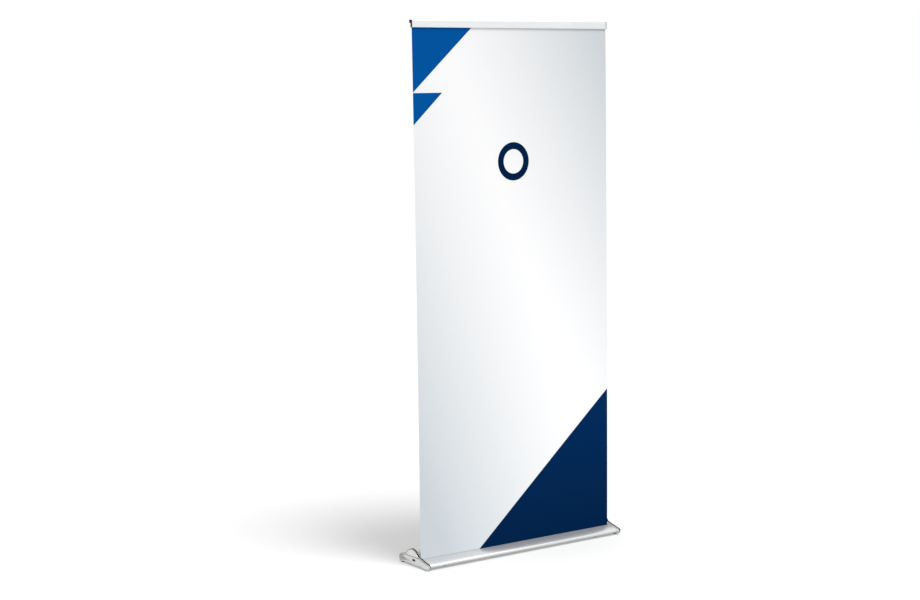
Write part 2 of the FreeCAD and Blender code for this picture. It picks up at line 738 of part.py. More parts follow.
def make_clamp(level, tube, sliding, top):
    """Split collar on a tube's end with its cross bolt, cam pin and cam lever."""
    ring = f"(Sizes.{tube}_radius + 0.05 + Sizes.collar_wall)"
    base = f"({top} - Sizes.collar_grip)"
    height = "Sizes.collar_grip + Sizes.collar_lip"
    bolt_y = f"({ring} + 8)"
    bolt_z = f"({base} + ({height}) / 2)"
    ear = fuse(rod(ring, height, z=base),
               block("2 * Sizes.ear_half_width", f"{ring} + Sizes.ear_reach", f"{height} - 3",
                     x="-Sizes.ear_half_width", z=f"{base} + 1.5"))
    grip = rod(f"Sizes.{tube}_radius + 0.03", "Sizes.collar_grip + 1", z=f"{base} - 1")
    lip = rod(f"Sizes.{sliding}_radius + Sizes.tube_gap", f"{height} + 2", z=f"{base} - 1")
    split = block("Sizes.ear_gap", "60", f"{height} + 2", x="-Sizes.ear_gap / 2", z=f"{base} - 1")
    bolt_hole = rod("Sizes.bolt_radius + 0.1", "60", x="-30", y=bolt_y, z=bolt_z, along="x")
    node(leaning(cut(ear, grip, lip, split, bolt_hole)), f"clamp_collar_{level}")

    shank = rod("Sizes.bolt_radius", "Sizes.ear_half_width + Sizes.cam_pin_side",
                x="-Sizes.ear_half_width", y=bolt_y, z=bolt_z, along="x")
    head = rod("4.5", "3", x="-Sizes.ear_half_width - 3", y=bolt_y, z=bolt_z, along="x")
    eye = rod("3.8", "7", x="Sizes.cam_pin_side", y=bolt_y, z=f"{bolt_z} - 3.5")
    pin_hole = rod("Sizes.cam_pin_radius", "30", x="Sizes.cam_pin_side", y=bolt_y,
                   z=f"{bolt_z} - 15")
    node(leaning(cut(fuse(shank, head, eye), pin_hole)), f"clamp_bolt_{level}")
    pin = rod("Sizes.cam_pin_radius", "Sizes.lever_height + 1", x="Sizes.cam_pin_side", y=bolt_y,
              z=f"{bolt_z} - (Sizes.lever_height + 1) / 2")
    pin_only = doc.addObject("Part::Compound", "pin")
    pin_only.Links = [pin]
    node(leaning(pin_only), f"cam_pin_{level}")

    plan = prism("XY_Plane", "Sizes.lever_height", lever_outline())
    bind(plan, base_x="Sizes.cam_pin_side", base_y=bolt_y,
         base_z=f"{bolt_z} - Sizes.lever_height / 2")
    round_end(plan, "Z", size("lever_height"), "0.8")
    fork = block("14.2", "14", "7.6", x="Sizes.cam_pin_side - 8", y=f"{bolt_y} - 6.6",
                 z=f"{bolt_z} - 3.8")
    bore = rod("Sizes.cam_pin_radius + Sizes.cam_pin_play", "40", x="Sizes.cam_pin_side",
               y=bolt_y, z=f"{bolt_z} - 20")
    node(leaning(cut(plan, fork, bore)), f"cam_lever_{level}")


# ---------------------------------------------------------------- top rail

def rail_bottom():
    return size("slot_height") + size("graphic_height")


def rail_outline():
    """Rear profile: lower leg, gripper seat, and the channel for the pole's hook."""
    bottom = rail_bottom()
    top = bottom + size("rail_height")
    wall = size("rail_wall")
    rear = size("rail_rear")
    leg = size("rail_leg_rear")
    mouth = bottom + size("rail_leg_height")
    return [
        (0.3, bottom + 0.6), ((0.5, bottom + 0.2), (1.0, bottom)), (leg, bottom),
        (leg, mouth), (leg + 1.0, mouth), (leg + 1.0, top - wall), (rear - wall, top - wall),
        (rear - wall, mouth), (rear, mouth), (rear, top - 1.2),
        ((rear - 0.35, top - 0.35), (rear - 1.2, top)), (0.2, top), (0.2, top - 4.5),
        (1.5, top - 4.5), (1.5, bottom + 10.5), (0.3, bottom + 10.5),
        (0.3, bottom + 9.6), (1.6, bottom + 9.6), (1.6, bottom + 4.4), (0.3, bottom + 4.4),
    ]


def hinge_level():
    return rail_bottom() + size("rail_height") - size("jaw_knuckle") - 0.2


def jaw_outline():
    """Front jaw: rounded hinge knuckle, flat face and a lip that pinches the film."""
    bottom = rail_bottom()
    front = -size("rail_front")
    knuckle = size("jaw_knuckle")
    level = hinge_level()
    centre = front + knuckle
    back = front + size("jaw_wall")
    return [
        (front, level),
        ((centre, level + knuckle), (centre + knuckle, level)),
        ((centre + knuckle * 0.707, level - knuckle * 0.707), (centre, level - knuckle)),
        (back, level - knuckle - 0.6), (back, bottom + 3.2),
        (-0.9, bottom + 3.0), ((-0.3, bottom + 2.2), (-0.35, bottom + 1.0)),
        ((-0.6, bottom + 0.3), (-1.3, bottom)), (front + 0.8, bottom),
        ((front + 0.2, bottom + 0.2), (front, bottom + 0.8)),
    ]


def plug_outline():
    bottom = rail_bottom()
    top = bottom + size("rail_height")
    front = -size("rail_front") - 0.3
    leg = size("rail_leg_rear") + 0.3
    rear = size("rail_rear") + 0.3
    mouth = bottom + size("rail_leg_height") - 0.3
    return [
        (front, bottom + 1.2), ((front + 0.3, bottom + 0.1), (front + 1.4, bottom - 0.3)),
        (leg - 1.0, bottom - 0.3), ((leg - 0.3, bottom), (leg, bottom + 0.7)),
        (leg, mouth), (rear - 1.0, mouth), ((rear - 0.3, mouth + 0.3), (rear, mouth + 1.0)),
        (rear, top - 1.2), ((rear - 0.4, top - 0.1), (rear - 1.5, top + 0.3)),
        (front + 1.5, top + 0.3), ((front + 0.4, top - 0.1), (front, top - 1.2)),
    ]


def make_rail():
    half = "Sizes.rail_length / 2"
    hinge_y = f"{BACK} - Sizes.rail_front + Sizes.jaw_knuckle"
    node(along_width("Sizes.rail_length", f"-{half}", rail_outline()), "rail_profile")
    jaw_length = "Sizes.rail_length - 2 * Sizes.jaw_gap"
    jaw = along_width(jaw_length, f"-({jaw_length}) / 2", jaw_outline())
    bore = rod("Sizes.hinge_rod_radius + Sizes.hinge_rod_play", "Sizes.rail_length + 2",
               x=f"-{half} - 1", y=hinge_y, z=str(hinge_level()), along="x")
    node(cut(jaw, bore), "rail_front_jaw")
    node(rod("Sizes.hinge_rod_radius", "Sizes.rail_length + 2.6", x=f"-{half} - 1.3",
             y=hinge_y, z=str(hinge_level()), along="x"), "jaw_hinge_rod")
    for side, sign in (("left", -1), ("right", 1)):
        thickness = "Sizes.rail_plug_thickness"
        plate = along_width(thickness, side_place(sign, half, thickness), plug_outline())
        outer_face = size("rail_plug_thickness") if sign > 0 else 0.0
        round_end(plate, "X", outer_face, "0.5")
        key = block("9", "4.6", "7.5", x=side_place(sign, f"{half} - 8", "9"),
                    y=f"{BACK} + Sizes.rail_leg_rear + 1.2",
                    z="Sizes.slot_height + Sizes.graphic_height + Sizes.rail_leg_height + 1")
        seat = rod("Sizes.hinge_rod_radius", "1.3", x=side_place(sign, half, "1.3"), y=hinge_y,
                   z=str(hinge_level()), along="x")
        node(cut(fuse(plate, key), seat), f"rail_plug_{side}")
    grip = block("Sizes.rail_length - 2", "1.35", "5.0", x=f"-{half} + 1", y=f"{BACK} + 0.2",
                 z="Sizes.slot_height + Sizes.graphic_height + 4.5")
    node(grip, "gripper_strip")


def make_graphic():
    panel = block("Sizes.graphic_width", "Sizes.film_thickness",
                  "Sizes.graphic_height + Sizes.graphic_tuck", x="-Sizes.graphic_width / 2",
                  y=f"{BACK} - Sizes.film_thickness / 2", z="Sizes.slot_height")
    node(panel, "graphic_panel")


# ---------------------------------------------------------------- feet

def make_feet():
    """Levelling feet: an M6 stud in a threaded insert, with a swivelling knurled pad."""
    inserts = []
    for name, x, y in foot_places():
        body = rod("Sizes.insert_radius", "Sizes.insert_length", x=x, y=y, z="Sizes.underside")
        collar = rod("Sizes.insert_radius + 1", "0.8", x=x, y=y, z="Sizes.underside - 0.8")
        thread = rod("Sizes.stud_radius + 0.08", "Sizes.insert_length + 4", x=x, y=y,
                     z="Sizes.underside - 2")
        inserts.append(cut(fuse(body, collar), thread))

        stud = rod("Sizes.stud_radius", "Sizes.stud_length", x=x, y=y, z="2.2")
        head = rod("Sizes.stud_head_radius", "1.6", x=x, y=y, z="1.6")
        node(fuse(stud, head), f"foot_stud_{name}")
        pad = rod("Sizes.foot_radius", "Sizes.foot_pad_height", x=x, y=y)
        head_seat = rod("Sizes.stud_head_radius + Sizes.stud_play", "1.76", x=x, y=y, z="1.52")
        neck = rod("Sizes.stud_radius + Sizes.stud_play", "6", x=x, y=y, z="2")
        node(cut(pad, head_seat, neck), f"foot_pad_{name}")
    node(group(*inserts), "foot_inserts")


# ---------------------------------------------------------------- build and write

make_cassette()
make_slot_strips()
make_run_in()
for cap_side in ("left", "right"):
    make_end_cap(cap_side)
    make_inner_plates(cap_side)
make_cap_screws()
make_cap_pads()
make_roller()
make_spring_end()
make_lock_button()
make_socket()
make_pole()
make_pole_head()
make_clamp("lower", "lower", "middle", "(Sizes.lower_start + Sizes.lower_length)")
make_clamp("upper", "middle", "upper", "(Sizes.middle_start + Sizes.middle_length)")
make_rail()
make_graphic()
make_feet()
doc.recompute()

for thing in doc.Objects:
    if "Invalid" in thing.State or "Error" in thing.State:
        raise RuntimeError(f"{thing.Label} failed: {thing.State}")
for thing in nodes:
    if thing.Shape.isNull() or not thing.Shape.isValid():
        raise RuntimeError(f"{thing.Label} has a bad shape")

os.makedirs("parts", exist_ok=True)
for thing in nodes:
    thing.Shape.exportStep(f"parts/{thing.Label}.step")
    box = thing.Shape.BoundBox
    print(f"{thing.Label:24s} solids {len(thing.Shape.Solids)} volume {thing.Shape.Volume:12.1f} "
          f"x {box.XMin:8.2f} {box.XMax:8.2f} y {box.YMin:8.2f} {box.YMax:8.2f} "
          f"z {box.ZMin:8.2f} {box.ZMax:8.2f}")
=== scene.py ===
import json
import math

import bmesh
import bpy
from mathutils import Matrix, Vector

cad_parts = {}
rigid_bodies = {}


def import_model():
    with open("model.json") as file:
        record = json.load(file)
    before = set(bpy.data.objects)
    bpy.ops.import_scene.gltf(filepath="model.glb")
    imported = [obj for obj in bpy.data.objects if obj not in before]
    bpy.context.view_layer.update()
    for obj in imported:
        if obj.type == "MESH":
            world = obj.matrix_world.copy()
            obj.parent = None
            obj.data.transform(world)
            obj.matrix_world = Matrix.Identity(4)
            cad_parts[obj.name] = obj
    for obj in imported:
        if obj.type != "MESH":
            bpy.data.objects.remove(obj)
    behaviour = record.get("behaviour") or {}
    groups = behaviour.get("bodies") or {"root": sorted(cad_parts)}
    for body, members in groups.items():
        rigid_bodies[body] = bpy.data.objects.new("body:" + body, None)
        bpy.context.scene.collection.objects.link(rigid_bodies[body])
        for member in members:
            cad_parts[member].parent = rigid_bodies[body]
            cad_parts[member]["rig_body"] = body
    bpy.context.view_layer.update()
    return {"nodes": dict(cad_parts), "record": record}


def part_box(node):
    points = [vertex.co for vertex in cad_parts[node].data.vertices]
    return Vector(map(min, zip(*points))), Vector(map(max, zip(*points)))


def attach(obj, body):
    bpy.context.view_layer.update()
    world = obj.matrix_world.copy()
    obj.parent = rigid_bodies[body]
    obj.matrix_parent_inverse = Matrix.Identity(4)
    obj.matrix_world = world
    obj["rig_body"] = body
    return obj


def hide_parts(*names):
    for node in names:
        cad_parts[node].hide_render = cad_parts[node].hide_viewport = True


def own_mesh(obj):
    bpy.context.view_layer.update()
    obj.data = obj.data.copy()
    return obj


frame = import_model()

# Roll-up banner stand.  X is the width, +Y the back, +Z up, in metres, as in the CAD frame.

scene = bpy.context.scene

panel_low, panel_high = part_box("graphic_panel")
FILM_Y = (panel_low.y + panel_high.y) / 2
FILM_HALF = panel_high.x
SLOT_Z = panel_low.z
RAIL_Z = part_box("rail_front_jaw")[0].z
FILM_TOP = panel_high.z


# ---------------------------------------------------------------- node helpers

class Nodes:
    """Short names for the shader nodes that the materials use."""

    def __init__(self, name):
        self.material = bpy.data.materials.new(name)
        self.material.use_nodes = True
        self.tree = self.material.node_tree
        self.shader = self.tree.nodes["Principled BSDF"]
        self.place = self.add("ShaderNodeTexCoord").outputs["Object"]

    def add(self, kind, **settings):
        made = self.tree.nodes.new(kind)
        for name, value in settings.items():
            setattr(made, name, value)
        return made

    def feed(self, socket, value):
        if isinstance(value, bpy.types.NodeSocket):
            self.tree.links.new(value, socket)
        else:
            socket.default_value = value

    def math(self, operation, a, b=0.0, c=0.0, clamp=False):
        made = self.add("ShaderNodeMath", operation=operation, use_clamp=clamp)
        for socket, value in zip(made.inputs, (a, b, c)):
            self.feed(socket, value)
        return made.outputs[0]

    def split(self, vector=None):
        made = self.add("ShaderNodeSeparateXYZ")
        self.feed(made.inputs[0], vector or self.place)
        return made.outputs

    def scaled(self, scale, vector=None):
        made = self.add("ShaderNodeMapping")
        self.feed(made.inputs["Vector"], vector or self.place)
        made.inputs["Scale"].default_value = scale
        return made.outputs[0]

    def noise(self, scale, vector=None, detail=3.0, roughness=0.5):
        made = self.add("ShaderNodeTexNoise")
        self.feed(made.inputs["Vector"], vector or self.place)
        made.inputs["Scale"].default_value = scale
        made.inputs["Detail"].default_value = detail
        made.inputs["Roughness"].default_value = roughness
        return made.outputs["Fac"]

    def ramp(self, factor, *stops):
        made = self.add("ShaderNodeValToRGB")
        self.feed(made.inputs["Fac"], factor)
        points = made.color_ramp.elements
        while len(points) < len(stops):
            points.new(0.5)
        for point, (position, colour) in zip(points, stops):
            point.position = position
            point.color = (*colour, 1.0)
        return made.outputs["Color"]

    def mix(self, factor, a, b):
        made = self.add("ShaderNodeMix", data_type="RGBA")
        self.feed(made.inputs["Factor"], factor)
        for socket, value in ((made.inputs[6], a), (made.inputs[7], b)):
            self.feed(socket, value if isinstance(value, bpy.types.NodeSocket) else (*value, 1.0))
        return made.outputs[2]

    def range(self, value, low, high, to_low, to_high):
        made = self.add("ShaderNodeMapRange")
        for socket, number in zip(made.inputs, (value, low, high, to_low, to_high)):
            self.feed(socket, number)
        return made.outputs[0]

    def bump(self, height, strength, distance):
        made = self.add("ShaderNodeBump")
        self.feed(made.inputs["Height"], height)
        made.inputs["Strength"].default_value = strength
        made.inputs["Distance"].default_value = distance
        self.feed(self.shader.inputs["Normal"], made.outputs[0])

    def set(self, **values):
        for name, value in values.items():
            self.feed(self.shader.inputs[name.replace("_", " ")], value)
        return self


def linear(red, green, blue):
    """Display values from 0 to 255 as linear colour."""
    def one(value):
        share = value / 255
        return share / 12.92 if share <= 0.04045 else ((share + 0.055) / 1.055) ** 2.4
    return one(red), one(green), one(blue)


# ---------------------------------------------------------------- materials

def drawn_metal(name, light, dark, roughness, grain=(6.0, 900.0, 900.0), metal=1.0):
    """Aluminium with the fine lines that extruding leaves along its length."""
    m = Nodes(name)
    lines = m.noise(1.0, m.scaled(grain), detail=2.0)
    patches = m.noise(9.0, detail=2.0)
    tone = m.math("ADD", m.math("MULTIPLY", lines, 0.7), m.math("MULTIPLY", patches, 0.3))
    m.set(Base_Color=m.ramp(tone, (0.3, dark), (0.7, light)), Metallic=metal)
    m.set(Roughness=m.range(tone, 0.3, 0.7, roughness + 0.08, roughness))
    m.bump(lines, 0.12, 0.00008)
    return m.material


def plated(name, colour, roughness):
    """Bright plating on a moulding, with faint handling haze and a slight ripple."""
    m = Nodes(name)
    haze = m.noise(38.0, detail=4.0)
    ripple = m.noise(70.0, detail=1.0)
    m.set(Base_Color=m.ramp(haze, (0.3, tuple(0.93 * c for c in colour)), (0.7, colour)),
          Metallic=1.0, Roughness=m.range(haze, 0.3, 0.7, roughness, roughness + 0.09))
    m.bump(ripple, 0.03, 0.0003)
    return m.material


def satin_plate(name, light, dark, metal=0.85):
    """Bead-blasted metal: tiny grain, no direction."""
    m = Nodes(name)
    grain = m.noise(2600.0, detail=1.0)
    cloud = m.noise(24.0, detail=2.0)
    m.set(Base_Color=m.ramp(cloud, (0.3, dark), (0.7, light)), Metallic=metal,
          Roughness=m.range(grain, 0.3, 0.7, 0.34, 0.46))
    m.bump(grain, 0.1, 0.00006)
    return m.material


def moulding(name, colour, roughness=0.48, grain=1500.0):
    """Moulded plastic with spark-eroded grain and slightly polished patches."""
    m = Nodes(name)
    pits = m.noise(grain, detail=2.0)
    wear = m.noise(45.0, detail=3.0)
    worn = tuple(min(1.0, 1.5 * c + 0.005) for c in colour)
    m.set(Base_Color=m.ramp(wear, (0.4, colour), (0.75, worn)),
          Roughness=m.range(wear, 0.35, 0.7, roughness + 0.08, roughness - 0.08))
    m.shader.inputs["Specular IOR Level"].default_value = 0.06
    m.bump(pits, 0.18, 0.0001)
    return m.material


def rubbery(name, colour):
    m = Nodes(name)
    dust = m.noise(160.0, detail=4.0)
    pores = m.noise(2200.0, detail=1.0)
    pale = tuple(c + 0.02 for c in colour)
    m.set(Base_Color=m.ramp(dust, (0.45, colour), (0.8, pale)), Roughness=0.82)
    m.shader.inputs["Specular IOR Level"].default_value = 0.1
    m.bump(pores, 0.3, 0.00012)
    return m.material


def zinc_plated(name, light, dark):
    m = Nodes(name)
    spangle = m.add("ShaderNodeTexVoronoi")
    m.feed(spangle.inputs["Vector"], m.place)
    spangle.inputs["Scale"].default_value = 900.0
    cloud = m.noise(120.0, detail=3.0)
    tone = m.math("ADD", m.math("MULTIPLY", spangle.outputs["Distance"], 0.4),
                  m.math("MULTIPLY", cloud, 0.6))
    m.set(Base_Color=m.ramp(tone, (0.25, dark), (0.7, light)), Metallic=1.0,
          Roughness=m.range(cloud, 0.3, 0.7, 0.28, 0.42))
    return m.material


def felt(name, colour):
    m = Nodes(name)
    fibre = m.noise(1400.0, detail=6.0, roughness=0.7)
    m.set(Base_Color=m.ramp(fibre, (0.35, colour), (0.7, tuple(3 * c for c in colour))),
          Roughness=0.95)
    m.bump(fibre, 0.8, 0.0004)
    return m.material


BRIGHT = linear(250, 250, 251)
SHADE = linear(196, 203, 208)
BLUE = linear(0, 82, 156)
NAVY_TOP = linear(0, 42, 89)
NAVY_LOW = linear(0, 31, 68)

# The print: corner triangles as (width, height); drops are measured down from the rail.
# The bright diagonal starts at a share of the width and drifts right by a share on its way down.
LARGE_BLOCK = (0.268, 0.238)
SMALL_BLOCK = (0.131, 0.1185)
SMALL_BLOCK_DROP = 0.2395
NAVY_BLOCK = (0.639, 0.565)
RING_DROP = 0.505
RING_RADIUS = 0.060
RING_BAND = 0.027
DIAGONAL_START = 0.12
DIAGONAL_DRIFT = 0.97


def film_texture(m):
    """Fine laid texture of coated polyester film."""
    weave = m.noise(1.0, m.scaled((2600.0, 900.0, 1300.0)), detail=1.0)
    m.bump(weave, 0.08, 0.00005)
    return weave


def printed_film():
    """White, turning to a cooler grey away from a bright diagonal, with printed corner blocks and a
    plain printed ring.
    """
    m = Nodes("printed_film")
    x, _, z = m.split()
    across = m.math("ADD", x, FILM_HALF)
    down = m.math("SUBTRACT", RAIL_Z, z)
    up = m.math("SUBTRACT", z, SLOT_Z)
    from_right = m.math("SUBTRACT", FILM_HALF, x)
    width = 2 * FILM_HALF
    height = RAIL_Z - SLOT_Z

    def under(line, softness=0.0004):
        """1 where the value is below 0, with an edge as soft as printed ink."""
        return m.range(line, -softness, softness, 1.0, 0.0)

    def corner(along, away, reach, drop):
        """Right triangle in a corner: reach one way, drop the other."""
        slope = m.math("ADD", m.math("DIVIDE", along, reach), m.math("DIVIDE", away, drop))
        return under(m.math("SUBTRACT", slope, 1.0), 0.002)

    drift = m.math("MULTIPLY", m.math("DIVIDE", down, height), DIAGONAL_DRIFT)
    middle = m.math("ADD", drift, DIAGONAL_START)
    distance = m.math("ABSOLUTE", m.math("SUBTRACT", m.math("DIVIDE", across, width), middle))
    tint = m.math("POWER", m.math("MULTIPLY", distance, 1.0, clamp=True), 1.25)
    tinted_white = m.mix(m.math("MULTIPLY", tint, 1.06, clamp=True), BRIGHT, SHADE)

    large = corner(across, down, *LARGE_BLOCK)
    small_top = m.math("SUBTRACT", down, SMALL_BLOCK_DROP)
    small = m.math("MULTIPLY", corner(across, small_top, *SMALL_BLOCK),
                   under(m.math("MULTIPLY", small_top, -1.0)))
    navy_area = corner(from_right, up, *NAVY_BLOCK)
    navy = m.mix(m.math("DIVIDE", up, NAVY_BLOCK[1], clamp=True), NAVY_LOW, NAVY_TOP)

    ring_down = m.math("SUBTRACT", down, RING_DROP)
    squares = [m.math("MULTIPLY", part, part) for part in (x, ring_down)]
    radius = m.math("SQRT", m.math("ADD", *squares))
    off_band = m.math("ABSOLUTE", m.math("SUBTRACT", radius, RING_RADIUS))
    ring = under(m.math("SUBTRACT", off_band, RING_BAND / 2))

    colour = m.mix(m.math("MAXIMUM", large, small), tinted_white, BLUE)
    colour = m.mix(navy_area, colour, navy)
    colour = m.mix(ring, colour, NAVY_LOW)
    # All film colours are scaled down, more near the top than near the bottom: the darker top is
    # painted shade.
    fall = m.math("POWER", m.math("DIVIDE", down, height, clamp=True), 1.5)
    dimming_and_painted_shade = m.range(fall, 0.0, 1.0, 0.665, 0.745)
    colour = m.mix(dimming_and_painted_shade, (0.0, 0.0, 0.0), colour)
    weave = film_texture(m)
    m.set(Base_Color=colour, Roughness=m.range(weave, 0.3, 0.7, 0.5, 0.58))
    m.shader.inputs["Specular IOR Level"].default_value = 0.01
    return m.material


def film_back():
    """Light-stopping grey coat on the back of the film."""
    m = Nodes("film_back")
    weave = film_texture(m)
    cloud = m.noise(4.0, detail=2.0)
    m.set(Base_Color=m.ramp(cloud, (0.3, linear(158, 161, 162)), (0.7, linear(170, 172, 174))),
          Roughness=m.range(weave, 0.3, 0.7, 0.55, 0.65))
    return m.material


def floor_material():
    """White acrylic light table: partly lit from above, partly from below."""
    m = Nodes("studio_floor")
    cloud = m.noise(0.6, detail=2.0)
    m.set(Base_Color=m.ramp(cloud, (0.3, (0.365, 0.365, 0.365)), (0.7, (0.38, 0.38, 0.38))),
          Roughness=0.7, Emission_Color=(1.0, 1.0, 1.0, 1.0), Emission_Strength=0.275)
    m.shader.inputs["Specular IOR Level"].default_value = 0.2
    return m.material


FINISHES = {
    "extrusion": drawn_metal("anodised_base", (0.64, 0.65, 0.65), (0.55, 0.56, 0.56), 0.34,
                             metal=0.75),
    "rail": drawn_metal("anodised_rail", (0.84, 0.85, 0.86), (0.70, 0.71, 0.72), 0.36),
    "pole": drawn_metal("anodised_tube", (0.76, 0.77, 0.78), (0.60, 0.61, 0.62), 0.28,
                        (900.0, 900.0, 6.0)),
    "roller": drawn_metal("roller_tube", (0.66, 0.67, 0.68), (0.52, 0.53, 0.54), 0.38),
    "plated_cap": plated("plated_cap", (0.66, 0.66, 0.65), 0.13),
    "inner_plate": satin_plate("inner_plate", (0.78, 0.78, 0.77), (0.70, 0.70, 0.69), metal=0.3),
    "inlay": satin_plate("satin_inlay", (0.74, 0.75, 0.73), (0.66, 0.67, 0.65)),
    "black_moulding": moulding("black_moulding", (0.004, 0.004, 0.005)),
    "grey_moulding": moulding("grey_moulding", (0.09, 0.095, 0.10), 0.42),
    "rubber": rubbery("black_rubber", (0.012, 0.012, 0.012)),
    "steel": zinc_plated("zinc_plated_steel", (0.70, 0.70, 0.72), (0.48, 0.48, 0.50)),
    "spring_steel": zinc_plated("oiled_spring_steel", (0.30, 0.29, 0.28), (0.16, 0.155, 0.15)),
    "felt": felt("black_felt", (0.012, 0.012, 0.013)),
    "printed_film": printed_film(),
    "film_back": film_back(),
}


SLOT_OF = {row["node"]: row["material_slot"] for row in frame["record"]["subparts"]}
OWN_FINISH = {"roller_tube": "roller", "end_cap_inner_left": "inner_plate",
              "end_cap_inner_right": "inner_plate"}


def finish_of(node):
    return FINISHES[OWN_FINISH.get(node, SLOT_OF[node])]


for name, thing in frame["nodes"].items():
    thing.data.materials.clear()
    thing.data.materials.append(finish_of(name))


# ---------------------------------------------------------------- pieces

def add_piece(name, mesh, *materials):
    piece = bpy.data.objects.new(name, mesh)
    scene.collection.objects.link(piece)
    for material in materials:
        mesh.materials.append(material)
    return piece


def stand_for(node, mesh):
    """Puts a new mesh in the place of a CAD piece, moving with it."""
    mesh.shade_smooth()
    mesh.set_sharp_from_angle(angle=math.radians(40))
    piece = add_piece(node + "_piece", mesh, finish_of(node))
    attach(piece, frame["nodes"][node]["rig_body"])
    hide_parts(node)


def cad_mesh(node):
    """A CAD piece as an editable mesh, with its flat faces whole again."""
    bm = bmesh.new()
    bm.from_mesh(frame["nodes"][node].data)
    bmesh.ops.remove_doubles(bm, verts=bm.verts, dist=2e-6)
    bmesh.ops.dissolve_limit(bm, angle_limit=math.radians(0.6), verts=bm.verts, edges=bm.edges)
    return bm


def finished(bm, name):
    """Turns an editable mesh into a mesh of that name."""
    mesh = bpy.data.meshes.new(name)
    bm.to_mesh(mesh)
    bm.free()
    return mesh


def refine(node, width, steps=3, chosen=None, painted=None):
    """The CAD piece again, with its edges rounded and its curved faces shaded smooth.
    chosen picks the edges to round, and painted the faces that get the black finish, which on the
    end caps is partly painted shade in recesses; large faces away from the rounded edges are
    divided first."""
    bm = cad_mesh(node)
    least = math.radians(28)
    sharp = [e for e in bm.edges if len(e.link_faces) == 2 and e.calc_face_angle(0) > least]
    if chosen:
        sharp = [e for e in sharp if chosen(e)]
    if painted:
        rim = {v for e in sharp for v in e.verts}
        bmesh.ops.triangulate(bm, faces=[f for f in bm.faces if len(f.verts) > 4
                                         and rim.isdisjoint(f.verts)])
        for face in bm.faces:
            face.material_index = 1 if painted(face) else 0
    bmesh.ops.bevel(bm, geom=sharp, offset=width, offset_type="OFFSET", segments=steps,
                    profile=0.5, affect="EDGES", clamp_overlap=True)
    mesh = finished(bm, node + "_piece")
    stand_for(node, mesh)
    if painted:
        # The second material is black moulding; on the end caps it is partly painted shade in the
        # groove, inlay seat and button slot.
        mesh.materials.append(FINISHES["black_moulding"])


def refine_cover(side):
    """End cap cover: a well rounded outer rim. Black as painted shade are the button's slot and,
    above the nose, the groove and the inlay seat; above the nose the upper side of the edge is
    black moulding."""
    node = f"end_cap_{side}"
    low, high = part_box(node)
    face_x = max(abs(low.x), abs(high.x))
    joint_x = min(abs(low.x), abs(high.x))
    nose_top = 0.0215
    button_low, button_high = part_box("lock_button")
    button = (button_low + button_high) / 2
    slot_reach = 0.0125

    def full_wall(face):
        return abs(face.normal.x) < 0.2 and min(abs(v.co.x) for v in face.verts) < joint_x + 1e-4

    def outer_rim(edge):
        on_face = all(abs(abs(v.co.x) - face_x) < 1e-5 for v in edge.verts)
        return on_face and any(full_wall(face) for face in edge.link_faces)

    # Faces sunk into the groove and the inlay seat, and the slot's walls, get black as painted
    # shade; the upper outer wall above the nose is black moulding.
    def shade_and_black_edge(face):
        across = [abs(v.co.x) for v in face.verts]
        sunk = min(across) > joint_x + 1e-4 and min(across) < face_x - 1e-5
        centre = face.calc_center_median()
        in_slot = math.hypot(centre.y - button.y, centre.z - button.z) < slot_reach
        wall = abs(face.normal.x) < 0.2
        upper = centre.z > nose_top and (sunk or wall and face.normal.z > 0.3)
        return upper or in_slot and wall

    refine(node, 0.0012, steps=4, chosen=outer_rim, painted=shade_and_black_edge)


def refine_liner(side):
    """Black liner: soft, so its upper edge swells and leans out over the cover."""
    node = f"end_cap_liner_{side}"
    low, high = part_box(node)
    middle = (low.x + high.x) / 2
    anchor_low, anchor_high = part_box("spring_anchor" if side == "left" else "roller_bush")
    anchor = (anchor_low + anchor_high) / 2
    swell = 0.00092
    lean_at_cover = 0.0012
    lean_at_inner = 0.0006
    beyond_hole = 0.015
    bm = cad_mesh(node)
    bm.normal_update()
    moves = []
    for vert in bm.verts:
        walls = [f.normal for f in vert.link_faces if abs(f.normal.x) < 0.3]
        way = sum(walls, Vector()).normalized()
        outwards = way.dot(vert.co - anchor) > beyond_hole
        if outwards and way.z > 0.3:
            lean = lean_at_cover if abs(vert.co.x) > abs(middle) else lean_at_inner
            moves.append((vert, swell * way + Vector((math.copysign(lean, middle), 0, 0))))
    for vert, move in moves:
        vert.co += move
    stand_for(node, finished(bm, node + "_piece"))


